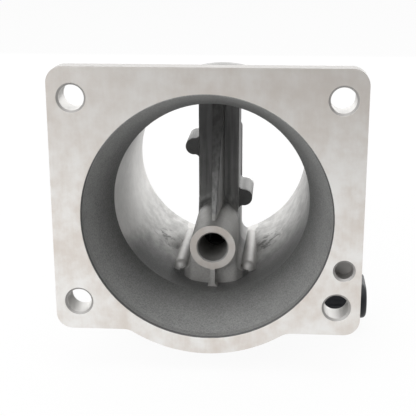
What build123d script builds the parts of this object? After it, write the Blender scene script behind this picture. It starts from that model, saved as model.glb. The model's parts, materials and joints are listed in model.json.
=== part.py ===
from build123d import *
import os
from math import sqrt

# Hot-wire mass airflow sensor with a cast body and an internal bypass passage.
# Everything is drawn about the bore axis: +Y is the way the air flows, +Z is up,
# and Y = 0 is the machined face that seals on the filter box. On export the pieces
# move down by bolt_rise, so that the part's origin is the centre of the bolt pattern.

# Inlet flange
flange_width = 104.6
flange_above = 51.3
flange_below = 40.1
flange_thick = 6.2
flange_corner_r = 5.5
skirt_r = 48.4
skirt_blend_r = 6.0
bolt_span_x = 88.4
bolt_span_z = 71.1
bolt_rise = 5.45
bolt_hole_r = 4.25
bolt_chamfer = 0.75
bolt_boss_r = 7.2
bolt_boss_back = 9.4
locator_x = 46.4
locator_z = -16.8
locator_r = 3.1
locator_depth = 5.4
locator_chamfer = 0.75
locator_boss_r = 5.4
locator_boss_back = 8.0

# Bore, from the bell mouth to the hose spigot
mouth_r = 42.2
mouth_land = 3.6
funnel_end = 24.3
throat_r = 35.0
body_length = 97.5
wall = 3.0
shoulder_wall = 4.2
shoulder_root_r = 1.6
neck_blend_r = 14.0
bead_height = 0.8
bead_width = 5.2
bead_lip = 1.6
bead_round = 0.6
bore_edge_chamfer = 0.5

# Bridge across the bore, with its two cover screw bosses
bridge_half = 7.9
bridge_front = 65.0
bridge_setback = 10.5
bridge_foot_r = 3.4
bridge_edge_r = 0.6
cover_boss_r = 3.3
cover_boss_front = 68.0
cover_boss_blend_r = 1.8
left_boss = (-10.1, 9.3)
right_boss = (10.0, -11.5)

# Bypass passage: axial inlet tube, then a radial channel behind the bridge
tube_z = -19.6
tube_r = 8.4
tube_bore_r = 5.45
tube_bevel = 0.5
tube_front = 29.3
tube_flare_r = 3.5
channel_half = 4.8
channel_front = 70.0
channel_top = 24.5
channel_bottom = -27.0

# Pedestal under the tube, with its front face, gusset, side ribs and upper fin
pedestal_front = 33.0
pedestal_drop = 6.8
pedestal_flare = 4.6
pedestal_splay = 4.0
pedestal_nose_r = 3.0
rib_x = 12.8
rib_r = 2.7
rib_z = -30.7
rib_front = 40.0
rib_back = 83.0
rib_fall_angle = 2.6
gusset_half = 0.85
gusset_foot = 1.9
gusset_foot_height = 1.2
fin_front = 35.6
fin_top = 34.0
fin_half_front = 0.85
fin_half_back = 2.4
fin_edge_r = 0.5

# Cover plate that closes the radial channel
cover_thick = 2.4
cover_top = 17.0
cover_bottom = -31.0
cover_half = 8.4
cover_hole_r = 1.7
cover_screw_r = 1.45
cover_tap_clearance = 0.05
cover_screw_length = 11.0
cover_tap_spare = 1.5
cover_head_r = 2.7
cover_head_height = 1.9

# Platform under the bore that carries the electronic module
platform_z = -42.0
platform_thick = 5.0
platform_half_x = 33.0
platform_front = 38.0
platform_back = 70.0
platform_corner_r = 4.0
platform_core_half = 15.0
platform_post_r = 4.6
platform_post_top = -24.0

# Module case, its cavity and its lid
case_left = -34.0
case_right = 38.0
case_height = 13.0
case_corner_r = 4.0
case_roof = 2.0
case_edge_r = 0.8
cavity_left = -22.0
cavity_right = 24.0
cavity_wall = 3.0
lid_thick = 1.6
lid_lap = 1.2
lid_clearance = 0.1

# Module screws and the steel sleeves that they clamp
module_screw_left = (-28.4, 44.2)
module_screw_right = (30.6, 64.4)
module_screw_r = 1.95
module_tap_clearance = 0.05
module_screw_depth = 12.0
module_tap_spare = 1.5
module_head_r = 3.7
module_head_height = 2.8
module_head_recess_r = 4.4
module_head_recess = 4.0
sleeve_wall = 1.1
sleeve_clearance = 0.25

# Electrical connector at the module's right end
socket_end = 58.0
socket_y = 48.0
socket_z = -44.35
socket_width = 24.0
socket_height = 13.4
socket_wall = 1.8
socket_root = 36.0
socket_floor = 43.5
socket_edge_r = 1.6
socket_rib_half = 0.45
socket_rib_proud = 0.7
socket_rib_setback = 2.2
latch_width = 6.0
latch_height = 1.5
latch_length = 5.0
latch_setback = 5.0

# Terminals
terminal_count = 4
terminal_pitch = 4.2
terminal_width = 1.5
terminal_thick = 0.8
terminal_tip = 51.5
terminal_tail = 19.0
terminal_bend = 34.0

# Sensor holder, its seal, its posts and the two elements in the bypass tube
holder_y = 53.5
holder_r = 4.9
holder_clearance = 0.15
holder_foot_r = 6.4
holder_proud = 1.2
seal_inner_r = 6.6
seal_width = 1.8
seal_height = 1.3
post_r = 0.4
post_half_x = 2.5
post_half_y = 2.4
post_stub = 0.7
element_r = 0.55
element_length = 3.2
element_lead_r = 0.12

# Electronics
plate_thick = 1.2
plate_margin = 1.0
plate_hole_clearance = 0.3
board_thick = 0.8
board_margin = 2.0
board_hole_clearance = 0.1
signal_chip_size = (8.0, 8.0, 1.4)
signal_chip_place = (-12.5, 55.5)
regulator_chip_size = (6.0, 5.0, 1.6)
regulator_chip_place = (11.5, 60.0)
capacitor_size = (2.0, 1.25, 1.1)
capacitor_row = (-17.0, 46.5)
capacitor_pitch = 3.6
capacitor_count = 4
resistor_size = (1.6, 0.8, 0.45)
resistor_row = (4.0, 64.0)
resistor_pitch = 2.6
resistor_count = 5

# How near a corner must lie to a point to be taken as that corner
same_place = 0.02

# Values that follow from the ones above
case_top = platform_z
case_bottom = case_top - case_height
roof_under = case_top - case_roof
board_top = roof_under - plate_thick
board_under = board_top - board_thick
cavity_front = platform_front + cavity_wall
cavity_back = platform_back - cavity_wall
spigot_r = throat_r + wall
bridge_back = body_length - bridge_setback
cover_face = bridge_back + cover_thick
shell_mid_r = throat_r + wall / 2
sleeve_bore_r = module_screw_r + sleeve_clearance
sleeve_r = sleeve_bore_r + sleeve_wall
head_seat = case_bottom + module_head_recess
bolt_places = [
    (side * bolt_span_x / 2, bolt_rise + level * bolt_span_z / 2)
    for side in (-1, 1)
    for level in (-1, 1)
]
module_screw_places = [module_screw_left, module_screw_right]
cover_screw_places = [left_boss, right_boss]
post_places = [
    (side * post_half_x, holder_y + row * post_half_y)
    for row in (-1, 1)
    for side in (-1, 1)
]


def slab(outline, front, back):
    """An outline in X and Z, given depth from Y = front to Y = back."""
    return extrude(Plane.XZ.offset(-front) * outline, amount=front - back)


def round_corners(outline, points, radius):
    """Rounds those corners of a flat outline that lie at the given points."""
    chosen = [
        corner
        for corner in outline.vertices()
        if any(abs(corner.X - x) + abs(corner.Y - y) < same_place for x, y in points)
    ]
    return fillet(chosen, radius)


def rod_y(radius, front, back, x=0.0, z=0.0):
    return slab(Pos(x, z) * Circle(radius), front, back)


def rod_z(radius, low, high, x, y):
    return Pos(x, y, low) * extrude(Circle(radius), amount=high - low)


def block(x, y, z):
    """A box between two values along each axis."""
    size = Box(x[1] - x[0], y[1] - y[0], z[1] - z[0])
    return Pos((x[0] + x[1]) / 2, (y[0] + y[1]) / 2, (z[0] + z[1]) / 2) * size


def turned(points, axis=Axis.Y):
    """A solid of revolution from radius and axial position pairs."""
    return revolve(make_face(Polyline(*points, close=True)), axis)


def countersink(radius, chamfer, x, z):
    """The cone that breaks a hole's edge at the flange face."""
    cone = turned([(0, 0), (radius + chamfer, 0), (radius, chamfer), (0, chamfer)])
    return Pos(x, 0, z) * cone


def flange():
    height = flange_above + flange_below
    plate = Pos(0, (flange_above - flange_below) / 2) * RectangleRounded(
        flange_width, height, flange_corner_r
    )
    outline = plate + Circle(skirt_r)
    meet_x = sqrt(skirt_r**2 - flange_below**2)
    notches = [(side * meet_x, -flange_below) for side in (-1, 1)]
    outline = round_corners(outline, notches, skirt_blend_r)
    solid = slab(outline, 0, flange_thick)
    for x, z in bolt_places:
        solid += rod_y(bolt_boss_r, 0, bolt_boss_back, x, z) & slab(plate, 0, bolt_boss_back)
    solid += rod_y(locator_boss_r, 0, locator_boss_back, locator_x, locator_z)
    return solid


def shell():
    """The outside of the body: a shoulder behind the flange, a straight spigot and its bead."""
    disc_r = skirt_r - bore_edge_chamfer
    shoulder_r = mouth_r + shoulder_wall
    spigot_start = funnel_end + shoulder_wall
    bead_start = body_length - bead_lip - bead_width
    bead_r = spigot_r + bead_height
    root = (shoulder_r, flange_thick)
    waist = (spigot_r, spigot_start)
    bead = [(bead_r, bead_start + bead_height), (bead_r, body_length - bead_lip)]
    outline = make_face(
        Polyline(
            (0, 0),
            (disc_r, 0),
            (disc_r, flange_thick),
            root,
            waist,
            (spigot_r, bead_start),
            *bead,
            (bead_r - bead_lip, body_length),
            (0, body_length),
            close=True,
        )
    )
    outline = round_corners(outline, [root], shoulder_root_r)
    outline = round_corners(outline, [waist], neck_blend_r)
    outline = round_corners(outline, bead, bead_round)
    return revolve(outline, Axis.Y)


def bore():
    """The air passage: a short straight land, a bell mouth and a straight throat."""
    mouth_edge = mouth_r + bore_edge_chamfer
    exit_edge = throat_r + bore_edge_chamfer
    return turned(
        [
            (0, 0),
            (mouth_edge, 0),
            (mouth_r, bore_edge_chamfer),
            (mouth_r, mouth_land),
            (throat_r, funnel_end),
            (throat_r, body_length - bore_edge_chamfer),
            (exit_edge, body_length),
            (0, body_length),
        ]
    )


def platform():
    middle_y = (platform_front + platform_back) / 2
    depth = platform_back - platform_front
    plate = Pos(0, middle_y) * RectangleRounded(2 * platform_half_x, depth, platform_corner_r)
    solid = Pos(0, 0, platform_z) * extrude(plate, amount=platform_thick)
    core = (-platform_core_half, platform_core_half)
    solid += block(core, (platform_front, platform_back), (platform_z, -throat_r))
    for x, y in module_screw_places:
        solid += rod_z(platform_post_r, platform_z, platform_post_top, x, y)
    return solid


def boss_outline(x, z):
    """A screw boss blended into the bridge's side, in X and Z."""
    side = 1 if x > 0 else -1
    strip = Pos(side * bridge_half / 2, z) * Rectangle(bridge_half, 5 * cover_boss_r)
    outline = strip + Pos(x, z) * Circle(cover_boss_r)
    meet_z = sqrt(cover_boss_r**2 - (abs(x) - bridge_half) ** 2)
    notches = [(side * bridge_half, z + level * meet_z) for level in (-1, 1)]
    return round_corners(outline, notches, cover_boss_blend_r)


def bridge():
    """The wall across the bore, splayed where it meets the throat."""
    reach = 2 * shell_mid_r
    ring = Circle(shell_mid_r) - Circle(throat_r)
    outline = ring + (Rectangle(2 * bridge_half, reach) & Circle(shell_mid_r))
    meet_z = sqrt(throat_r**2 - bridge_half**2)
    feet = [(side * bridge_half, level * meet_z) for side in (-1, 1) for level in (-1, 1)]
    solid = slab(round_corners(outline, feet, bridge_foot_r), bridge_front, bridge_back)
    front_face = solid.faces().sort_by(Axis.Y)[0]
    solid = fillet(front_face.edges().filter_by(Axis.Z), bridge_edge_r)
    for x, z in cover_screw_places:
        solid += slab(boss_outline(x, z), cover_boss_front, bridge_back)
    return solid


def pedestal_outline():
    """Half round on top, straight flanks, then hollow curves out to the throat wall."""
    hip = tube_z - pedestal_drop
    foot_x = tube_r + pedestal_flare
    foot_z = hip - pedestal_flare
    under = -shell_mid_r
    top = ThreePointArc((-tube_r, tube_z), (0, tube_z + tube_r), (tube_r, tube_z))
    right = Line((tube_r, tube_z), (tube_r, hip))
    right_flare = RadiusArc((tube_r, hip), (foot_x, foot_z), -pedestal_flare)
    base = Polyline((foot_x, foot_z), (foot_x, under), (-foot_x, under), (-foot_x, foot_z))
    left_flare = RadiusArc((-foot_x, foot_z), (-tube_r, hip), -pedestal_flare)
    left = Line((-tube_r, hip), (-tube_r, tube_z))
    return make_face(top + right + right_flare + base + left_flare + left)


def pedestal_plan():
    """The pedestal from above: a flat front face, then sides that splay back to its foot."""
    foot_x = tube_r + pedestal_flare
    splay_end = pedestal_front + pedestal_splay
    nose = [(-tube_r, pedestal_front), (tube_r, pedestal_front)]
    outline = make_face(
        Polyline(
            *nose,
            (foot_x, splay_end),
            (foot_x, bridge_back),
            (-foot_x, bridge_back),
            (-foot_x, splay_end),
            close=True,
        )
    )
    outline = round_corners(outline, nose, pedestal_nose_r)
    return Pos(0, 0, -shell_mid_r) * extrude(outline, amount=shell_mid_r)


def side_rib(side):
    """A round-ended rib along the foot of the pedestal, which sinks into the throat wall."""
    depth = rib_z + shell_mid_r
    length = rib_back - rib_front
    outline = Circle(rib_r) + Pos(0, -depth / 2) * Rectangle(2 * rib_r, depth)
    solid = slab(outline, 0, length)
    for end in (0, length):
        solid += Pos(0, end, 0) * Sphere(rib_r)
        solid += rod_z(rib_r, -depth, 0, 0, end)
    return Pos(side * rib_x, rib_front, rib_z) * Rot(-rib_fall_angle, 0, 0) * solid


def gusset():
    """The thin web under the tube's mouth, with its splayed foot."""
    top = tube_z - tube_bore_r
    foot = -throat_r + gusset_foot_height
    outline = make_face(
        Polyline(
            (-gusset_half, top),
            (gusset_half, top),
            (gusset_half, foot),
            (gusset_foot, -throat_r),
            (gusset_foot, -shell_mid_r),
            (-gusset_foot, -shell_mid_r),
            (-gusset_foot, -throat_r),
            (-gusset_half, foot),
            close=True,
        )
    )
    return slab(outline, tube_front, pedestal_front)


def fin():
    """The upper web: a wedge that thickens towards the bridge as its mould draws out."""
    seat = tube_z + tube_r
    side = make_face(
        Polyline(
            (fin_front, tube_z),
            (fin_front, seat),
            (bridge_front, fin_top),
            (bridge_front, tube_z),
            close=True,
        )
    )
    plan = make_face(
        Polyline(
            (-fin_half_front, fin_front),
            (fin_half_front, fin_front),
            (fin_half_back, bridge_front),
            (-fin_half_back, bridge_front),
            close=True,
        )
    )
    sheet = extrude(Plane.YZ * side, amount=tube_r, both=True)
    wedge = Pos(0, 0, tube_z) * extrude(plan, amount=fin_top - tube_z)
    solid = sheet & wedge
    crest = solid.faces().sort_by(Axis.Z)[-1]
    sides = [edge for edge in crest.edges() if abs(edge.center().X) > fin_half_front / 2]
    return fillet(sides, fin_edge_r)


def tube_flare():
    """The hollow blend between the top of the tube and the bridge's front face."""
    start = bridge_front - tube_flare_r
    outer = tube_r + tube_flare_r
    curve = RadiusArc((tube_r, start), (outer, bridge_front), tube_flare_r)
    edges = Polyline((outer, bridge_front), (0, bridge_front), (0, start), (tube_r, start))
    flare = Pos(0, 0, tube_z) * revolve(make_face(curve + edges), Axis.Y)
    width = (-bridge_half, bridge_half)
    return flare & block(width, (start, bridge_front), (tube_z, 0))


def bypass_body():
    """All that stands in the bore: the tube, its pedestal, webs and ribs, and the bridge."""
    solid = slab(pedestal_outline(), pedestal_front, bridge_back) & pedestal_plan()
    solid += rod_y(tube_r, tube_front, bridge_front, 0, tube_z)
    solid += bridge()
    solid += tube_flare()
    solid += fin()
    solid += gusset()
    for side in (-1, 1):
        solid += side_rib(side)
    return solid & rod_y(shell_mid_r, 0, body_length)


def bypass_passage():
    """Tube bore, radial channel and the hole for the sensor holder."""
    bevel_r = tube_bore_r + tube_bevel
    mouth = turned([(0, 0), (bevel_r, 0), (tube_bore_r, tube_bevel), (0, tube_bevel)])
    cut = Pos(0, tube_front, tube_z) * mouth
    cut += rod_y(tube_bore_r, tube_front, channel_front, 0, tube_z)
    width = (-channel_half, channel_half)
    cut += block(width, (channel_front, bridge_back), (channel_bottom, channel_top))
    cut += rod_z(holder_r + holder_clearance, platform_z, tube_z, 0, holder_y)
    return cut


def housing():
    """The body casting with all of its machining."""
    solid = flange() + shell() + platform()
    solid -= bore()
    solid += bypass_body()
    solid -= bypass_passage()
    for x, z in bolt_places:
        solid -= rod_y(bolt_hole_r, 0, bolt_boss_back, x, z)
        solid -= countersink(bolt_hole_r, bolt_chamfer, x, z)
    solid -= rod_y(locator_r, 0, locator_depth, locator_x, locator_z)
    solid -= countersink(locator_r, locator_chamfer, locator_x, locator_z)
    tap_r = cover_screw_r + cover_tap_clearance
    tap_depth = cover_screw_length - cover_thick + cover_tap_spare
    for x, z in cover_screw_places:
        solid -= rod_y(tap_r, bridge_back - tap_depth, bridge_back, x, z)
    tap_r = module_screw_r + module_tap_clearance
    tap_top = platform_z + module_screw_depth + module_tap_spare
    for x, y in module_screw_places:
        solid -= rod_z(tap_r, platform_z, tap_top, x, y)
    groove = seal_space(platform_z, platform_z + seal_height)
    return solid - groove


def seal_space(low, high):
    """The ring-shaped space round the sensor holder that the seal fills."""
    outer = rod_z(seal_inner_r + seal_width, low, high, 0, holder_y)
    return outer - rod_z(seal_inner_r, low, high, 0, holder_y)


def seal_ring():
    ring = seal_space(platform_z, platform_z + seal_height)
    return fillet(ring.edges(), seal_width / 6)


def bypass_cover():
    """A flat plate with an ear for each of its screws."""
    height = cover_top - cover_bottom
    plate = Pos(0, (cover_top + cover_bottom) / 2) * RectangleRounded(
        2 * cover_half, height, cover_boss_r
    )
    for x, z in cover_screw_places:
        plate += Pos(x, z) * Circle(cover_boss_r)
        plate += Pos(x / 2, z) * Rectangle(abs(x), 2 * cover_boss_r)
    plate &= Circle(throat_r - lid_clearance)
    for x, z in cover_screw_places:
        plate -= Pos(x, z) * Circle(cover_hole_r)
    return slab(plate, bridge_back, cover_face)


def pan_screw(head_r, head_height, shank_r, shank_length):
    """A pan-head screw along +Z, with its head under Z = 0 and a hexalobular recess."""
    dome = head_height * 0.35
    profile = make_face(
        Polyline(
            (0, -head_height),
            (head_r - dome, -head_height),
            (head_r, dome - head_height),
            (head_r, 0),
            (shank_r, 0),
            (shank_r, shank_length - shank_r / 2),
            (shank_r / 2, shank_length),
            (0, shank_length),
            close=True,
        )
    )
    solid = revolve(Plane.XZ * profile, Axis.Z)
    lobes = Circle(head_r * 0.38)
    for lobe in PolarLocations(head_r * 0.36, 6):
        lobes += lobe * Circle(head_r * 0.13)
    recess = Pos(0, 0, -head_height) * extrude(lobes, amount=head_height * 0.6)
    return solid - recess


def bypass_cover_screws():
    screw = pan_screw(cover_head_r, cover_head_height, cover_screw_r, cover_screw_length)
    facing_front = Rot(90, 0, 0) * screw
    return [Pos(x, cover_face, z) * facing_front for x, z in cover_screw_places]


def module_screws():
    length = module_screw_depth + platform_z - head_seat
    screw = pan_screw(module_head_r, module_head_height, module_screw_r, length)
    return [Pos(x, y, head_seat) * screw for x, y in module_screw_places]


def screw_sleeves():
    sleeves = []
    for x, y in module_screw_places:
        tube = rod_z(sleeve_r, head_seat, case_top, x, y)
        sleeves.append(tube - rod_z(sleeve_bore_r, head_seat, case_top, x, y))
    return sleeves


def socket_outline(grow=0.0):
    slot = SlotOverall(socket_width + 2 * grow, socket_height + 2 * grow)
    return Plane.YZ * Pos(socket_y, socket_z) * slot


def connector():
    """The oval socket that points to the right: rounded end, side ribs and latch ramp."""
    solid = Pos(socket_root, 0, 0) * extrude(socket_outline(), amount=socket_end - socket_root)
    solid = fillet(solid.faces().sort_by(Axis.X)[-1].edges(), socket_edge_r)
    reach = socket_width / 2 + socket_rib_proud
    ribs = Rectangle(2 * reach, 2 * socket_rib_half)
    ribs = Plane.YZ * Pos(socket_y, socket_z) * ribs
    rib_end = socket_end - socket_rib_setback
    solid += Pos(socket_root, 0, 0) * extrude(ribs, amount=rib_end - socket_root)
    top = socket_z + socket_height / 2
    start = socket_end - latch_setback - latch_length
    ramp = make_face(
        Polyline(
            (start, top - socket_wall / 2),
            (start, top + latch_height),
            (start + latch_length, top),
            (start + latch_length, top - socket_wall / 2),
            close=True,
        )
    )
    latch = extrude(Plane.XZ.offset(-socket_y) * ramp, amount=latch_width / 2, both=True)
    solid += latch
    inner = extrude(socket_outline(-socket_wall), amount=socket_end - socket_floor)
    return solid - Pos(socket_floor, 0, 0) * inner


def module_case():
    """The moulded case: a box open below, its screw columns and the connector."""
    middle = Pos((case_left + case_right) / 2, (platform_front + platform_back) / 2)
    depth = platform_back - platform_front
    plan = middle * RectangleRounded(case_right - case_left, depth, case_corner_r)
    solid = Pos(0, 0, case_bottom) * extrude(plan, amount=case_height)
    solid = fillet(solid.faces().sort_by(Axis.Z)[0].edges(), case_edge_r)
    solid += connector()
    solid -= lid_space(0.0)
    cavity_x = (cavity_left, cavity_right)
    cavity_y = (cavity_front, cavity_back)
    solid -= block(cavity_x, cavity_y, (case_bottom, roof_under))
    solid -= rod_z(holder_r + holder_clearance, roof_under, case_top, 0, holder_y)
    for x, y in module_screw_places:
        solid -= rod_z(module_head_recess_r, case_bottom, head_seat, x, y)
        solid -= rod_z(sleeve_r, head_seat, case_top, x, y)
    for pin in terminals():
        solid -= pin
    return solid


def lid_space(clearance):
    lap = lid_lap - clearance
    x = (cavity_left - lap, cavity_right + lap)
    y = (cavity_front - lap, cavity_back + lap)
    return block(x, y, (case_bottom, case_bottom + lid_thick))


def module_lid():
    lid = lid_space(lid_clearance)
    return fillet(lid.edges().filter_by(Axis.Z), lid_lap / 2)


def terminals():
    """Flat blades, stepped from the board's underside up to the socket's middle."""
    low = board_under - terminal_thick / 2
    route = FilletPolyline(
        (terminal_tail, low),
        (terminal_bend, low),
        (terminal_bend + terminal_pitch, socket_z),
        (terminal_tip, socket_z),
        radius=terminal_thick,
    )
    ribbon = offset(route, terminal_thick / 2, side=Side.BOTH)
    pins = []
    for step in range(terminal_count):
        y = socket_y + (step - (terminal_count - 1) / 2) * terminal_pitch
        face = Plane.XZ.offset(-y) * make_face(ribbon)
        pins.append(extrude(face, amount=terminal_width / 2, both=True))
    return pins


def posts():
    low = board_under - post_stub
    return [rod_z(post_r, low, tube_z + post_r, x, y) for x, y in post_places]


def sensor_holder():
    """The plug that carries the posts up through the body's floor into the bypass tube."""
    top = tube_z - tube_bore_r + holder_proud
    solid = rod_z(holder_r, roof_under, top, 0, holder_y)
    solid += rod_z(holder_foot_r, board_top, roof_under, 0, holder_y)
    for post in posts():
        solid -= post
    return solid


def element(y):
    """A wound ceramic core with a thin lead out to each of its two posts."""
    core = Plane.YZ * Circle(element_r)
    lead = Plane.YZ * Circle(element_lead_r)
    reach = post_half_x - post_r
    solid = extrude(core, amount=element_length / 2, both=True)
    solid += extrude(lead, amount=reach, both=True)
    return Pos(0, y, tube_z) * solid


def cavity_plate(margin, low, high):
    x = (cavity_left + margin, cavity_right - margin)
    y = (cavity_front + margin, cavity_back - margin)
    return block(x, y, (low, high))


def base_plate():
    plate = cavity_plate(plate_margin, board_top, roof_under)
    hole_r = holder_foot_r + plate_hole_clearance
    return plate - rod_z(hole_r, board_top, roof_under, 0, holder_y)


def circuit_board():
    board = cavity_plate(board_margin, board_under, board_top)
    for x, y in post_places:
        board -= rod_z(post_r + board_hole_clearance, board_under, board_top, x, y)
    return board


def chip(size, place):
    """A square-edged component that hangs under the board."""
    body = Box(size[0], size[1], size[2])
    return Pos(place[0], place[1], board_under - size[2] / 2) * body


def chip_row(size, start, pitch, count):
    return [chip(size, (start[0] + step * pitch, start[1])) for step in range(count)]


def save(name, *solids):
    """Writes one node, moved so that the bolt pattern's centre is the origin."""
    placed = [Pos(0, 0, -bolt_rise) * solid for solid in solids]
    shape = placed[0] if len(placed) == 1 else Compound(children=placed)
    export_step(shape, f"parts/{name}.step")


def main():
    os.makedirs("parts", exist_ok=True)
    save("housing", housing())
    save("bypass_cover", bypass_cover())
    save("bypass_cover_screws", *bypass_cover_screws())
    save("module_case", module_case())
    save("module_lid", module_lid())
    save("module_screws", *module_screws())
    save("screw_sleeves", *screw_sleeves())
    save("seal_ring", seal_ring())
    save("sensor_holder", sensor_holder())
    for number, post in enumerate(posts(), 1):
        save(f"sensor_post_{number}", post)
    save("temperature_element", element(holder_y - post_half_y))
    save("hot_wire_element", element(holder_y + post_half_y))
    save("base_plate", base_plate())
    save("circuit_board", circuit_board())
    save("signal_chip", chip(signal_chip_size, signal_chip_place))
    save("regulator_chip", chip(regulator_chip_size, regulator_chip_place))
    save("board_capacitors", *chip_row(capacitor_size, capacitor_row, capacitor_pitch, capacitor_count))
    save("board_resistors", *chip_row(resistor_size, resistor_row, resistor_pitch, resistor_count))
    for number, pin in enumerate(terminals(), 1):
        save(f"terminal_{number}", pin)


main()
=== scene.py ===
import json
import math
from types import SimpleNamespace

import bpy
from mathutils import Matrix, Vector


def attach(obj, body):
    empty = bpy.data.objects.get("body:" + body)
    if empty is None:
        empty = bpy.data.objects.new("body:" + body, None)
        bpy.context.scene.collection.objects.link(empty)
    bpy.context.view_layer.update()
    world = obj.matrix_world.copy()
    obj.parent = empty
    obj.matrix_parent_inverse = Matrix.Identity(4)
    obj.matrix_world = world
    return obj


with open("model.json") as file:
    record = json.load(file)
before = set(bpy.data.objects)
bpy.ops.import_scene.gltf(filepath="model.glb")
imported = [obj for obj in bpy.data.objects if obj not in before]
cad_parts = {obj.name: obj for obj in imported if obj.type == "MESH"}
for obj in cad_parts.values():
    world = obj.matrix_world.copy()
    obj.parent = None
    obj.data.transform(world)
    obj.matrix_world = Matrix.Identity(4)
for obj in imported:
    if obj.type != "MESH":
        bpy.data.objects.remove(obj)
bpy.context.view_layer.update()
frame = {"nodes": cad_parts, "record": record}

# Places on the casting in millimetres, in the part's own frame. A drop runs down from the origin.
BORE_DROP = 5.45
BOLT_X = 44.2
BOLT_Z = 35.55
LOCATOR_X = 46.4
LOCATOR_Z = -22.25
MOUTH_SLOPE = 0.3
FUNNEL_END = 24.3
TUBE_FACE = 29.3
TUBE_DROP = 25.05
RIB_X = 12.8
RIB_FRONT = 40.0
RIB_DROP = 36.15
RIB_FALL = 0.0454
DIRT_X = 20.4
DIRT_Y = 64.6
FLOOR_LEVEL = -60.5

# Radii around a hole, the tube, a rib or the bore, over which one finish, painted light or painted
# shade gives way to the next.
BOLT_EDGE = (5.1, 5.05)
LOCATOR_EDGE = (3.95, 3.9)
TUBE_EDGE = (8.7, 8.5)
RIB_EDGE = (3.0, 2.75)
DIRT_EDGE = (7.0, 3.0)
MOUTH_EDGE = (44.6, 44.5)
WALL_OUTSIDE = (35.06, 35.03)
WALL_INSIDE = (34.9, 34.94)
BORE_INSIDE = (34.94, 34.9)

# The same along the bore, from the face to the back.
FACE_BACK = (0.02, 0.08)
LIP_SHADE_DEPTH = (0.85, 0.65)
HOLE_LIP_SHADE = (0.9, 0.6)
LOCATOR_SHADE_DEPTH = (0.8, 1.2)
RIM_FRONT = (6.6, 6.3)
FUNNEL_SHADE_DEEPENS = (7.0, 24.0)
ENTRY_SHADOW_DEPTH = (17.0, 30.0)
BRIDGE_SHADE_BACK = (50.0, 63.0)
BOSS_SHADE_ENDS = (68.0, 71.0)
REAR_LIGHT_STARTS = (34.0, 72.0)

# The same across and upwards.
BRIDGE_SIDE = (7.9, 8.5)
RIB_SIDE = (9.8, 11.5)
THROAT_LIT_LEFT = (-26.0, -34.0)
RIB_BELOW = (-24.0, -27.0)
BRIDGE_SHADE_ABOVE = (-15.5, -13.5)
BRIDGE_SHADE_LIFTS = (15.0, -20.0)
ENTRY_SHADOW_BELOW = (-12.0, -24.0)
LIP_SHADE_BELOW = (30.0, 5.0)
DIRT_BELOW = (-12.0, -16.0)
REAR_LIGHT_ABOVE = (-30.0, -8.0)
FACE_SHADE_RISES = (-15.0, 45.0)

# The rises beside the side ribs: a strip of skin just behind the throat's surface, and each
# rise as the front, the back and the height of the line that is drawn in.
WALL_SKIN = 35.1
SKIN_FACETS = 360
SKIN_THICKNESS = 1.2
STRIP_LENGTH = 52.0
STRIP_MIDDLE = 67.5
STRIP_SIDES = (8.0, 25.6)
STRIP_TOP = -20.0
STRIP_ROWS = 26
SHOULDER_X = 17.02
SHOULDER_LINE = 0.3
SHOULDER_REACH = 8.0
SHOULDER_RISES = ((64.0, 86.0, 1.3), (70.0, 86.0, 0.5))

# The photograph's viewpoint, in metres, radians and pixels.
VIEW_PLACE = (0.0241003, -0.3125874, 0.0943706)
VIEW_YAW, VIEW_PITCH, VIEW_ROLL = -0.0751300, 0.2951776, 0.0022625
FOCAL_PIXELS = 985.14
PICTURE_PIXELS = 416.0
SENSOR_WIDTH = 36.0


class Value:
    """A socket that can stand in an expression: each operator adds a Math node."""

    def __init__(self, finish, socket):
        self.finish = finish
        self.socket = socket

    def __add__(self, other):
        return self.finish.maths("ADD", self, other)

    def __radd__(self, other):
        return self.finish.maths("ADD", other, self)

    def __sub__(self, other):
        return self.finish.maths("SUBTRACT", self, other)

    def __rsub__(self, other):
        return self.finish.maths("SUBTRACT", other, self)

    def __mul__(self, other):
        return self.finish.maths("MULTIPLY", self, other)

    def __rmul__(self, other):
        return self.finish.maths("MULTIPLY", other, self)

    def __abs__(self):
        return self.finish.maths("ABSOLUTE", self)


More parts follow.
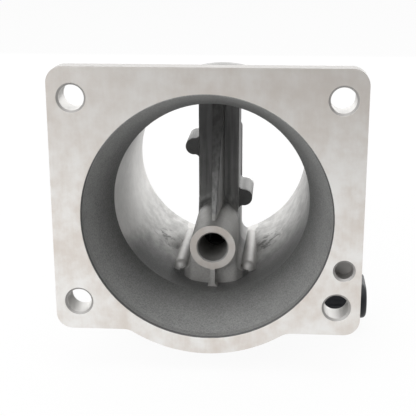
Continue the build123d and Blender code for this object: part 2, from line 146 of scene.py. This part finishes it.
class Finish:
    """A material under construction, with its node tree."""

    def __init__(self, name):
        self.material = bpy.data.materials.new(name)
        self.material.use_nodes = True
        self.tree = self.material.node_tree
        self.tree.nodes.clear()

    def add(self, kind, settings=None, values=None, out=0):
        """Adds any node: its settings first, then the values or links of its sockets."""
        node = self.tree.nodes.new(kind)
        for name, setting in (settings or {}).items():
            setattr(node, name, setting)
        for name, value in (values or {}).items():
            socket = node.inputs[name]
            if isinstance(value, Value):
                self.tree.links.new(value.socket, socket)
            elif socket.type == "RGBA":
                socket.default_value = (*value, 1.0)
            else:
                socket.default_value = value
        return Value(self, node.outputs[out]) if node.outputs else None

    def maths(self, operation, first, second=0.0):
        return self.add("ShaderNodeMath", {"operation": operation}, {0: first, 1: second})

    def places(self):
        """The surface's place in the part's own frame, as three values in millimetres."""
        place = self.add("ShaderNodeTexCoord", out="Object")
        split = self.add("ShaderNodeSeparateXYZ", values={0: place})
        return [Value(self, socket) * 1000.0 for socket in split.socket.node.outputs]

    def pattern_place(self, squeeze):
        """Object coordinates, squeezed along an axis so that marks run out along it."""
        values = {"Vector": self.add("ShaderNodeTexCoord", out="Object"), "Scale": squeeze}
        return self.add("ShaderNodeMapping", values=values)

    def clouds(self, size, detail=3.0, roughness=0.55, squeeze=(1.0, 1.0, 1.0), warp=0.0):
        """Cloudy pattern, 0 to 1, with features of about this many millimetres."""
        values = {
            "Vector": self.pattern_place(squeeze),
            "Scale": 1000.0 / size,
            "Detail": detail,
            "Roughness": roughness,
            "Distortion": warp,
        }
        return self.add("ShaderNodeTexNoise", values=values)

    def pits(self, size):
        """Distance to the nearest of many scattered points, for pores and specks."""
        values = {"Vector": self.pattern_place((1.0, 1.0, 1.0)), "Scale": 1000.0 / size}
        return self.add("ShaderNodeTexVoronoi", values=values)

    def rise(self, value, start, end):
        """0 before start, 1 after end, and smooth between; falls if start is the larger."""
        values = {"Value": value, "From Min": start, "From Max": end}
        return self.add("ShaderNodeMapRange", {"interpolation_type": "SMOOTHSTEP"}, values)

    def near(self, value, centre, reach):
        """1 where a value is within reach of centre."""
        return self.rise(abs(value - centre), reach * 1.2, reach)

    def distance(self, across, up):
        return self.maths("SQRT", across * across + up * up)

    def either(self, first, second):
        return self.maths("MAXIMUM", first, second)

    def tint(self, amount, first, second):
        """One colour turning into another."""
        values = {0: amount, 6: first, 7: second}
        return self.add("ShaderNodeMix", {"data_type": "RGBA"}, values, out=2)

    def relief(self, height, depth):
        """A surface relief of so many millimetres from a 0 to 1 height."""
        return self.add("ShaderNodeBump", values={"Height": height, "Distance": depth / 1000.0})

    def surface(self, values):
        """Ends the tree in one Principled shader and gives the material."""
        shader = self.add("ShaderNodeBsdfPrincipled", values=values)
        self.add("ShaderNodeOutputMaterial", values={"Surface": shader})
        return self.material


def cast_zones(f):
    """The surface's place, and masks that tell the casting's differently made parts apart."""
    x, y, z = f.places()
    from_bore = f.distance(x, z + BORE_DROP)
    from_bolt = f.distance(abs(x) - BOLT_X, abs(z) - BOLT_Z)
    from_locator = f.distance(x - LOCATOR_X, z - LOCATOR_Z)
    from_tube = f.distance(x, z + TUBE_DROP)
    behind_face = f.rise(y, *FACE_BACK)
    in_locator = f.rise(from_locator, *LOCATOR_EDGE)
    drilled = f.either(f.rise(from_bolt, *BOLT_EDGE), in_locator) * behind_face
    in_funnel = f.rise(y, FUNNEL_END + 0.1, FUNNEL_END)
    on_wall = f.rise(from_bore, *WALL_OUTSIDE) * f.rise(from_bore, *WALL_INSIDE)
    on_rib = f.rise(abs(x), *RIB_SIDE) * f.rise(z, *RIB_BELOW)
    inside = f.rise(from_bore, *BORE_INSIDE) * f.rise(y, FUNNEL_END, FUNNEL_END + 0.5)
    tube_end = f.near(y, TUBE_FACE, 0.06) * f.rise(from_tube, *TUBE_EDGE) * inside
    return SimpleNamespace(
        x=x,
        y=y,
        z=z,
        in_mouth=f.rise(from_bore + MOUTH_SLOPE * y, *MOUTH_EDGE) * in_funnel * behind_face,
        in_throat=f.either(on_wall, inside * on_rib),
        on_bridge=inside * (1.0 - on_rib),
        tube_end=tube_end,
        locator_inside=in_locator * f.rise(y, *LOCATOR_SHADE_DEPTH),
        drilled=drilled,
        machined=f.either(f.either(1.0 - behind_face, drilled), tube_end),
    )


def cast_marks(f):
    """Patterns that several parts of the casting share."""
    return SimpleNamespace(
        stain=f.clouds(24.0, 4.0, 0.6),
        mottle=f.clouds(5.0, 4.0, 0.6),
        grain=f.clouds(0.7, 2.0, 0.6),
        speckle=f.rise(f.clouds(0.55, 3.0, 0.7), 0.25, 0.75),
        pores=f.rise(f.pits(1.6), 0.16, 0.05),
        milled=f.clouds(0.9, 2.0, 0.5, squeeze=(1.0, 1.0, 0.12)),
    )


def outside_colour(f, zone, marks):
    """Sand-cast skin with pores, paler on the rim of the flange."""
    skin = marks.stain * 0.25 + marks.mottle * 0.25 + marks.speckle * 0.5
    skin_colour = f.tint(skin, (0.22, 0.22, 0.215), (0.43, 0.428, 0.42))
    rim = marks.mottle * 0.5 + marks.speckle * 0.5
    rim_colour = f.tint(rim, (0.33, 0.32, 0.308), (0.49, 0.48, 0.465))
    colour = f.tint(f.rise(zone.y, *RIM_FRONT), skin_colour, rim_colour)
    return f.tint(marks.pores * 0.4, colour, (0.13, 0.13, 0.125))


def bridge_colour(f, zone, marks):
    """Bridge, tube and pedestal: painted shade above and behind, darkest high up and on the boss
    fronts, and painted light low in front, with streaks.
    """
    # Painted shade on the bridge, darkest at the top and easing lower down; darker still on the
    # boss fronts.
    shaded = f.tint(f.rise(zone.z, *BRIDGE_SHADE_LIFTS), (0.20, 0.20, 0.20), (0.44, 0.44, 0.435))
    boss_shade = f.tint(f.rise(zone.y, *BOSS_SHADE_ENDS), (0.17, 0.17, 0.168), (0.36, 0.358, 0.35))
    shaded = f.tint(f.rise(abs(zone.x), *BRIDGE_SIDE), shaded, boss_shade)
    # Painted light: a paler copy of the casting low in front, where the light falls; the mask below
    # marks where the painted shade takes over.
    lit_side = f.tint(marks.grain, (0.32, 0.316, 0.306), (0.52, 0.51, 0.495))
    in_shade = f.either(f.rise(zone.y, *BRIDGE_SHADE_BACK), f.rise(zone.z, *BRIDGE_SHADE_ABOVE))
    drawn = f.rise(f.clouds(1.5, 2.0, 0.5, squeeze=(1.0, 1.0, 0.06)), 0.35, 0.65)
    drawn = drawn * in_shade * f.rise(abs(zone.x), *reversed(BRIDGE_SIDE))
    colour = f.tint(in_shade, lit_side, shaded)
    return f.tint(marks.mottle * 0.35 + drawn * 0.4, colour, (0.09, 0.09, 0.09))


def mouth_colour(f, zone, marks):
    """Turned funnel with painted shade deepening towards the throat, a painted shadow low at the
    throat's entry, and painted shade on its lip.
    """
    fleck = marks.mottle * 0.4 + marks.speckle * 0.6
    # Painted shade: the front colour gives way to a darker back colour deeper in the bore.
    front = f.tint(fleck, (0.20, 0.202, 0.20), (0.49, 0.492, 0.485))
    back = f.tint(fleck, (0.12, 0.122, 0.12), (0.30, 0.302, 0.297))
    colour = f.tint(f.rise(zone.y, *FUNNEL_SHADE_DEEPENS), front, back)
    # Painted shadow low down at the throat's entry.
    entry_shadow = 0.45 * f.rise(zone.y, *ENTRY_SHADOW_DEPTH) * f.rise(zone.z, *ENTRY_SHADOW_BELOW)
    colour = f.tint(entry_shadow, colour, (0.06, 0.06, 0.06))
    # Painted shade on the funnel's lip.
    lip_shade = f.rise(zone.y, *LIP_SHADE_DEPTH) * f.rise(zone.z, *LIP_SHADE_BELOW)
    return f.tint(lip_shade, colour, (0.10, 0.10, 0.10))


def throat_colour(f, zone, marks, turned):
    """Throat paled behind the turned colour by painted light from the rear opening, most on the
    left, with dirt at both sides and ribs painted pale as if lit.
    """
    blotches = f.clouds(4.0, 5.0, 0.65, squeeze=(1.0, 0.6, 1.0))
    # Painted light from the rear opening: the throat pales towards the back, strongest on the left
    # and higher up.
    lit_left = f.rise(zone.x, *THROAT_LIT_LEFT)
    rear_light = f.tint(f.rise(blotches, 0.3, 0.7), (0.41, 0.405, 0.395), (0.60, 0.595, 0.58))
    rear_light = f.tint(0.6 * lit_left, rear_light, (0.84, 0.83, 0.81))
    light_reach = 8.0 * blotches + 14.0 * f.rise(zone.z, *REAR_LIGHT_ABOVE) + 28.0 * lit_left
    colour = f.tint(f.rise(zone.y + light_reach, *REAR_LIGHT_STARTS), turned, rear_light)

    from_dirt = f.distance(abs(zone.x) - DIRT_X, (zone.y - DIRT_Y) * 0.6)
    dirt_place = f.rise(from_dirt, *DIRT_EDGE) * f.rise(zone.z, *DIRT_BELOW)
    dirt = f.rise(f.clouds(3.4, 4.0, 0.6, warp=0.5), 0.48, 0.62) * dirt_place
    colour = f.tint(0.7 * dirt, colour, (0.10, 0.10, 0.095))

    behind_nose = zone.y - RIB_FRONT
    from_line = f.distance(abs(zone.x) - RIB_X, zone.z + RIB_DROP + RIB_FALL * behind_nose)
    from_rib = f.distance(from_line, f.maths("MINIMUM", behind_nose, 0.0))
    # Ribs painted pale, as if lit.
    rib_lit_colour = f.tint(marks.mottle, (0.56, 0.55, 0.535), (0.80, 0.79, 0.77))
    return f.tint(0.8 * f.rise(from_rib, *RIB_EDGE), colour, rib_lit_colour)


def machined_colour(f, zone, marks):
    """Milled face, smudged, with painted shade towards the top, and the drilled walls behind it,
    with painted shade on their lips.
    """
    smudges = f.rise(marks.stain * 0.6 + marks.mottle * 0.33 + marks.milled * 0.07, 0.36, 0.64)
    colour = f.tint(smudges, (0.70, 0.645, 0.595), (0.86, 0.85, 0.83))
    # Painted shade darkening the face towards the top.
    colour = f.tint(0.5 * f.rise(zone.z, *FACE_SHADE_RISES), colour, (0.58, 0.55, 0.52))
    # Painted shade on the drilled holes' lips; the walls deeper in keep a paler colour.
    walls = f.tint(f.rise(zone.y, *HOLE_LIP_SHADE), (0.66, 0.65, 0.635), (0.40, 0.39, 0.38))
    return f.tint(zone.drilled, colour, walls)


def cast_body_finish():
    """Sand-grey casting, with its machined, drilled and turned places in their own colours, and
    painted light and shade laid over them.
    """
    f = Finish("cast_body")
    zone = cast_zones(f)
    marks = cast_marks(f)
    turned = mouth_colour(f, zone, marks)
    colour = f.tint(zone.in_mouth, outside_colour(f, zone, marks), turned)
    colour = f.tint(zone.in_throat, colour, throat_colour(f, zone, marks, turned))
    colour = f.tint(zone.on_bridge, colour, bridge_colour(f, zone, marks))
    colour = f.tint(zone.machined, colour, machined_colour(f, zone, marks))
    # Painted shade inside the locator hole, and a darker tone on the tube's end.
    hole_shade_and_ring_tone = f.either(0.5 * zone.locator_inside, 0.38 * zone.tube_end)
    colour = f.tint(hole_shade_and_ring_tone, colour, (0.10, 0.09, 0.083))

    lathe = f.clouds(0.5, 1.0, 0.5, squeeze=(0.05, 1.0, 0.05))
    cast_texture = marks.mottle * 0.3 + marks.grain * 0.6 - marks.pores * 0.4
    texture = cast_texture * (1.0 - zone.machined) + marks.milled * zone.machined * 0.05
    texture = texture * (1.0 - 0.4 * zone.in_mouth) + lathe * zone.in_mouth * 0.12
    polish = 0.18 * zone.machined * (1.0 - zone.drilled)
    return f.surface(
        {
            "Base Color": colour,
            "Metallic": 0.55 + 0.25 * zone.machined,
            "Roughness": 0.52 + 0.12 * marks.mottle - polish,
            "Normal": f.relief(texture, 0.12),
        }
    )


def rolled_plate_finish():
    """Mill-finish aluminium sheet with faint lines along its length."""
    f = Finish("pressed_plate")
    lines = f.clouds(0.6, 3.0, 0.6, squeeze=(1.0, 1.0, 0.04))
    stain = f.clouds(9.0, 4.0, 0.6)
    return f.surface(
        {
            "Base Color": f.tint(stain * 0.5 + lines * 0.5, (0.47, 0.47, 0.46), (0.68, 0.68, 0.67)),
            "Metallic": 0.8,
            "Roughness": 0.3 + 0.18 * lines,
            "Normal": f.relief(lines, 0.015),
        }
    )


def plated_steel_finish():
    """Zinc plate over steel, faintly yellow, brighter where it is worn."""
    f = Finish("plated_steel")
    spangle = f.clouds(1.3, 4.0, 0.65)
    wear = f.clouds(4.0, 3.0, 0.6)
    colour = f.tint(spangle * 0.6 + wear * 0.4, (0.42, 0.40, 0.35), (0.70, 0.69, 0.64))
    return f.surface(
        {
            "Base Color": colour,
            "Metallic": 0.9,
            "Roughness": 0.28 + 0.22 * spangle,
            "Normal": f.relief(spangle, 0.01),
        }
    )


def moulded_finish(name, dark, light, roughness, grain_size, depth, shine=0.5):
    """Moulded plastic or rubber: fine spark-eroded grain and slow flow marks."""
    f = Finish(name)
    grain = f.clouds(grain_size, 2.0, 0.6)
    flow = f.clouds(14.0, 3.0, 0.5, squeeze=(0.35, 1.0, 1.0), warp=0.6)
    return f.surface(
        {
            "Base Color": f.tint(grain * 0.4 + flow * 0.6, dark, light),
            "Roughness": roughness + 0.14 * (flow - 0.5) + 0.08 * (grain - 0.5),
            "Specular IOR Level": shine,
            "Normal": f.relief(grain, depth),
        }
    )


def bright_metal_finish(name, dark, light, roughness, squeeze):
    """Drawn or rolled metal with marks along its length."""
    f = Finish(name)
    marks = f.clouds(0.35, 3.0, 0.6, squeeze=squeeze)
    return f.surface(
        {
            "Base Color": f.tint(marks, dark, light),
            "Metallic": 0.95,
            "Roughness": roughness + 0.15 * marks,
            "Normal": f.relief(marks, 0.004),
        }
    )


def element_finish():
    """Platinum winding under a glass coat: fine bands along the element."""
    f = Finish("element_coating")
    along = f.places()[0]
    bands = f.maths("SINE", along * 42.0) * 0.5 + 0.5
    cloud = f.clouds(0.5, 2.0, 0.5)
    return f.surface(
        {
            "Base Color": f.tint(bands, (0.34, 0.38, 0.40), (0.72, 0.75, 0.76)),
            "Roughness": 0.12 + 0.1 * cloud,
            "Coat Weight": 0.6,
            "Normal": f.relief(bands, 0.02),
        }
    )


def board_finish():
    """White alumina with printed conductors in a plain grid of runs."""
    f = Finish("board_ceramic")
    x, y = f.places()[:2]
    across = f.rise(f.maths("SINE", x * 2.1 + 2.0 * f.clouds(9.0, 0.0)), 0.9, 0.94)
    along = f.rise(f.maths("SINE", y * 1.7 + 2.0 * f.clouds(12.0, 0.0)), 0.9, 0.94)
    print_mask = f.either(across, along)
    grain = f.clouds(0.4, 2.0, 0.6)
    ceramic = f.tint(grain, (0.66, 0.67, 0.64), (0.80, 0.80, 0.77))
    return f.surface(
        {
            "Base Color": f.tint(print_mask, ceramic, (0.44, 0.40, 0.33)),
            "Metallic": 0.6 * print_mask,
            "Roughness": 0.45 - 0.12 * print_mask + 0.08 * grain,
            "Normal": f.relief(print_mask * 0.6 + grain * 0.1, 0.02),
        }
    )


# Name, dark and light colour, roughness, grain size and relief in millimetres, shine.
MOULDED = (
    ("black_plastic", (0.010, 0.011, 0.014), (0.026, 0.028, 0.033), 0.45, 0.35, 0.02, 0.28),
    ("holder_plastic", (0.030, 0.030, 0.029), (0.062, 0.061, 0.058), 0.55, 0.3, 0.015),
    ("seal_rubber", (0.012, 0.012, 0.012), (0.028, 0.027, 0.026), 0.75, 0.5, 0.02),
    ("component_black", (0.022, 0.022, 0.023), (0.050, 0.050, 0.052), 0.5, 0.2, 0.01),
    ("component_tan", (0.42, 0.31, 0.19), (0.62, 0.49, 0.34), 0.35, 0.3, 0.005),
)

# Name, dark and light colour, roughness, squeeze of the marks along each axis.
BRIGHT_METALS = (
    ("tinned_brass", (0.50, 0.46, 0.34), (0.78, 0.74, 0.60), 0.22, (0.05, 1.0, 1.0)),
    # post_steel's colours are kept very dark: painted shade for the posts in the tube's shade.
    ("post_steel", (0.10, 0.10, 0.105), (0.18, 0.18, 0.185), 0.4, (1.0, 1.0, 0.05)),
)


def give_finishes():
    """Gives each CAD node the finish of its slot in the record, and returns the finishes."""
    finishes = {
        "cast_body": cast_body_finish(),
        "pressed_plate": rolled_plate_finish(),
        "plated_steel": plated_steel_finish(),
        "element_coating": element_finish(),
        "board_ceramic": board_finish(),
    }
    for name, *looks in MOULDED:
        finishes[name] = moulded_finish(name, *looks)
    for name, *looks in BRIGHT_METALS:
        finishes[name] = bright_metal_finish(name, *looks)
    for entry in frame["record"]["subparts"]:
        node = frame["nodes"][entry["node"]]
        node.data.materials.clear()
        node.data.materials.append(finishes[entry["material_slot"]])
    return finishes


def pick(piece, kind, test):
    """Selects the corners, edges or faces of a piece that pass a test, and stays in edit mode."""
    bpy.ops.object.mode_set(mode="EDIT")
    bpy.ops.mesh.select_mode(type=kind)
    bpy.ops.mesh.select_all(action="DESELECT")
    bpy.ops.object.mode_set(mode="OBJECT")
    mesh = piece.data
    parts = {"VERT": mesh.vertices, "EDGE": mesh.edges, "FACE": mesh.polygons}[kind]
    for part in parts:
        part.select = test(part)
    bpy.ops.object.mode_set(mode="EDIT")


def cut_wall_strip(name):
    """A strip of the throat's skin behind the right side rib, in rows close enough to bend."""
    bpy.ops.object.select_all(action="DESELECT")
    bpy.ops.mesh.primitive_cylinder_add(
        vertices=SKIN_FACETS,
        radius=WALL_SKIN / 1000.0,
        depth=STRIP_LENGTH / 1000.0,
        end_fill_type="NOTHING",
        location=(0.0, STRIP_MIDDLE / 1000.0, -BORE_DROP / 1000.0),
        rotation=(math.radians(90.0), 0.0, 0.0),
    )
    strip = bpy.context.object
    strip.name = name
    bpy.ops.object.transform_apply(location=True, rotation=True, scale=True)

    def off_strip(face):
        x, z = face.center.x * 1000.0, face.center.z * 1000.0
        return z > STRIP_TOP or not STRIP_SIDES[0] < x < STRIP_SIDES[1]

    pick(strip, "FACE", off_strip)
    bpy.ops.mesh.delete(type="FACE")
    bpy.ops.object.mode_set(mode="OBJECT")
    corners = strip.data.vertices

    def runs_back(edge):
        first, second = edge.vertices
        return abs(corners[first].co.y - corners[second].co.y) * 1000.0 > STRIP_LENGTH / 2.0

    pick(strip, "EDGE", runs_back)
    bpy.ops.mesh.subdivide(number_cuts=STRIP_ROWS - 1)
    bpy.ops.object.mode_set(mode="OBJECT")
    return strip


def swell(piece, front, back, height):
    """Draws the wall in along the rib's line, fading out softly all round."""

    def on_line(corner):
        x, y = corner.co.x * 1000.0, corner.co.y * 1000.0
        return abs(x - SHOULDER_X) < SHOULDER_LINE and front <= y <= back

    pick(piece, "VERT", on_line)
    lean = math.asin(SHOULDER_X / WALL_SKIN)
    inward = Vector((-math.sin(lean), 0.0, math.cos(lean))) * height / 1000.0
    bpy.ops.transform.translate(
        value=inward,
        use_proportional_edit=True,
        proportional_edit_falloff="SMOOTH",
        proportional_size=SHOULDER_REACH / 1000.0,
    )
    bpy.ops.object.mode_set(mode="OBJECT")


def thicken(piece):
    """Turns the skin to face the bore and gives it thickness behind."""
    bpy.ops.object.mode_set(mode="EDIT")
    bpy.ops.mesh.select_all(action="SELECT")
    bpy.ops.mesh.flip_normals()
    bpy.ops.object.mode_set(mode="OBJECT")
    wall = piece.modifiers.new("wall", "SOLIDIFY")
    wall.thickness = SKIN_THICKNESS / 1000.0
    wall.offset = -1.0
    bpy.ops.object.modifier_apply(modifier=wall.name)
    bpy.ops.object.shade_smooth_by_angle(angle=math.radians(40.0))


def mirrored_copy(name):
    """Copies the active piece to the other side of the bore."""
    bpy.ops.object.duplicate()
    copy = bpy.context.object
    copy.name = name
    bpy.ops.object.mode_set(mode="EDIT")
    bpy.ops.mesh.select_all(action="SELECT")
    bpy.ops.transform.resize(value=(-1.0, 1.0, 1.0), center_override=(0.0, 0.0, 0.0))
    bpy.ops.mesh.normals_make_consistent(inside=False)
    bpy.ops.object.mode_set(mode="OBJECT")
    return copy


def cast_shoulders(finish):
    """Soft rises of the casting that carry the outer sides of the side ribs into the throat."""
    right = cut_wall_strip("rib_shoulder_right")
    for front, back, height in SHOULDER_RISES:
        swell(right, front, back, height)
    thicken(right)
    right.data.materials.append(finish)
    left = mirrored_copy("rib_shoulder_left")
    for shoulder in (right, left):
        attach(shoulder, "root")


def floor_finish():
    """Pale floor that the camera, metal and glass see as white, with a soft shadow left on it."""
    f = Finish("studio_floor")
    tone = f.tint(f.clouds(400.0, 2.0), (0.86, 0.86, 0.86), (0.88, 0.88, 0.88))
    paper = f.add("ShaderNodeBsdfDiffuse", values={"Color": tone})
    white = f.add("ShaderNodeEmission", values={"Color": (1.0, 1.0, 1.0), "Strength": 1.0})
    path = f.add("ShaderNodeLightPath", out="Is Camera Ray").socket.node
    camera_ray, glossy_ray, transmission_ray = (
        Value(f, path.outputs[name])
        for name in ("Is Camera Ray", "Is Glossy Ray", "Is Transmission Ray")
    )
    seen = f.either(f.either(camera_ray, glossy_ray), transmission_ray)
    mixed = f.add("ShaderNodeMixShader", values={0: 0.94 * seen, 1: paper, 2: white})
    f.add("ShaderNodeOutputMaterial", values={"Surface": mixed})
    return f.material


def lay_floor():
    """The studio floor, level with the underside of the module."""
    bpy.ops.object.select_all(action="DESELECT")
    bpy.ops.mesh.primitive_plane_add(size=8.0, location=(0.0, 0.0, FLOOR_LEVEL / 1000.0))
    floor = bpy.context.object
    floor.name = "studio_floor"
    floor.data.materials.append(floor_finish())


def card_finish():
    """Dull grey card that gives polished faces something dark to show."""
    f = Finish("studio_card")
    grey = f.tint(f.clouds(300.0, 2.0), (0.05, 0.05, 0.05), (0.06, 0.06, 0.06))
    board = f.add("ShaderNodeBsdfDiffuse", values={"Color": grey})
    f.add("ShaderNodeOutputMaterial", values={"Surface": board})
    return f.material


def stand_card(name, place, aim, width, height, finish):
    """A card behind the camera, which only the object's shine shows."""
    bpy.ops.object.select_all(action="DESELECT")
    bpy.ops.mesh.primitive_plane_add(size=1.0, location=place)
    card = bpy.context.object
    card.name = name
    card.rotation_euler = (Vector(aim) - Vector(place)).to_track_quat("Z", "Y").to_euler()
    card.scale = (width, height, 1.0)
    card.data.materials.append(finish)
    card.visible_camera = False


def light_world():
    """White for what the camera, metal and glass see; a plain level for what lights the object."""
    world = bpy.data.worlds.new("studio")
    bpy.context.scene.world = world
    world.use_nodes = True
    tree = world.node_tree
    tree.nodes.clear()
    path = tree.nodes.new("ShaderNodeLightPath")
    seen = tree.nodes.new("ShaderNodeMath")
    seen.operation = "MAXIMUM"
    tree.links.new(path.outputs["Is Camera Ray"], seen.inputs[0])
    tree.links.new(path.outputs["Is Glossy Ray"], seen.inputs[1])
    both = tree.nodes.new("ShaderNodeMath")
    both.operation = "MAXIMUM"
    tree.links.new(seen.outputs[0], both.inputs[0])
    tree.links.new(path.outputs["Is Transmission Ray"], both.inputs[1])
    level = tree.nodes.new("ShaderNodeMapRange")
    level.inputs["To Min"].default_value = 0.45
    level.inputs["To Max"].default_value = 1.0
    tree.links.new(both.outputs[0], level.inputs["Value"])
    background = tree.nodes.new("ShaderNodeBackground")
    background.inputs["Color"].default_value = (1.0, 1.0, 1.0, 1.0)
    tree.links.new(level.outputs[0], background.inputs["Strength"])
    output = tree.nodes.new("ShaderNodeOutputWorld")
    tree.links.new(background.outputs[0], output.inputs["Surface"])


def hang_lamp(name, place, aim, width, height, power):
    """A soft rectangular lamp that the camera doesn't see."""
    lamp = bpy.data.lights.new(name, "AREA")
    lamp.shape = "RECTANGLE"
    lamp.size = width
    lamp.size_y = height
    lamp.energy = power
    holder = bpy.data.objects.new(name, lamp)
    bpy.context.scene.collection.objects.link(holder)
    holder.location = place
    holder.rotation_euler = (Vector(aim) - Vector(place)).to_track_quat("-Z", "Y").to_euler()
    holder.visible_camera = False


def place_camera():
    """The photograph's viewpoint, solved from the flange outline, the bore and the holes."""
    flat = math.cos(VIEW_PITCH)
    forward = Vector(
        (math.sin(VIEW_YAW) * flat, math.cos(VIEW_YAW) * flat, -math.sin(VIEW_PITCH))
    )
    level_right = Vector((math.cos(VIEW_YAW), -math.sin(VIEW_YAW), 0.0))
    level_down = forward.cross(level_right)
    right = math.cos(VIEW_ROLL) * level_right + math.sin(VIEW_ROLL) * level_down
    down = math.cos(VIEW_ROLL) * level_down - math.sin(VIEW_ROLL) * level_right
    camera = bpy.data.cameras.new("camera")
    camera.sensor_fit = "HORIZONTAL"
    camera.sensor_width = SENSOR_WIDTH
    camera.lens = FOCAL_PIXELS / PICTURE_PIXELS * SENSOR_WIDTH
    camera.clip_start = 0.01
    holder = bpy.data.objects.new("camera", camera)
    bpy.context.scene.collection.objects.link(holder)
    turn = Matrix((right, -down, -forward)).transposed().to_4x4()
    holder.matrix_world = Matrix.Translation(VIEW_PLACE) @ turn
    bpy.context.scene.camera = holder


# Name, place and aim in metres, width, height, power in watts.
LAMPS = (
    ("overhead", (-0.10, -0.05, 0.95), (0.0, 0.03, 0.0), 1.1, 1.1, 7.0),
    ("front_fill", (-0.6, -0.9, 0.40), (0.0, 0.0, 0.0), 0.8, 0.8, 6.5),
    ("backdrop_glow", (0.0, 0.70, 0.20), (0.0, 0.05, 0.0), 1.6, 0.5, 4.0),
)

finishes = give_finishes()
cast_shoulders(finishes["cast_body"])
lay_floor()
light_world()
stand_card("studio_card", (0.18, -0.50, 0.10), (0.0, 0.0, 0.05), 1.2, 0.30, card_finish())
for lamp in LAMPS:
    hang_lamp(*lamp)
place_camera()
bpy.context.scene.view_settings.view_transform = "Standard"
